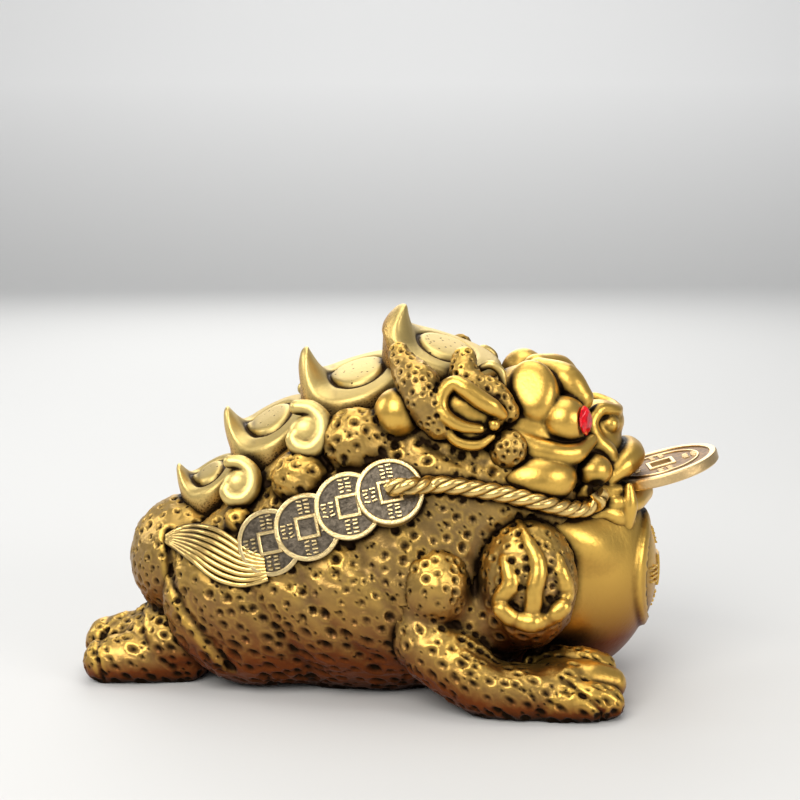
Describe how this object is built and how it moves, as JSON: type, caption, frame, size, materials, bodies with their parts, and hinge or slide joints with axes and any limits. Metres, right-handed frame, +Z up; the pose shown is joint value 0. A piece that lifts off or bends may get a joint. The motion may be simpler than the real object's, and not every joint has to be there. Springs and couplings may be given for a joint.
{
  "type": "figure",
  "caption": "Money toad figure in antique brass, lying on its belly, with ingots down its back, coin strings on its flanks, red eye stones and a loose coin in its mouth",
  "frame": {"origin": "on the table under the toad's belly, in its plane of symmetry", "axes": "+X towards the toad's nose, +Y to its left, +Z up"},
  "size_m": [0.2248, 0.1155, 0.1322],
  "materials": {
    "brass": "antique brass, dark in the hollows and polished on the high forms",
    "pale_brass": "satin, with dark hollows",
    "red_glass": "cut and polished"
  },
  "bodies": {
    "root": {"toad_casting": "brass", "mouth_coin": "pale_brass", "eye_stone_right": "red_glass", "eye_stone_left": "red_glass"}
  },
  "joints": []
}
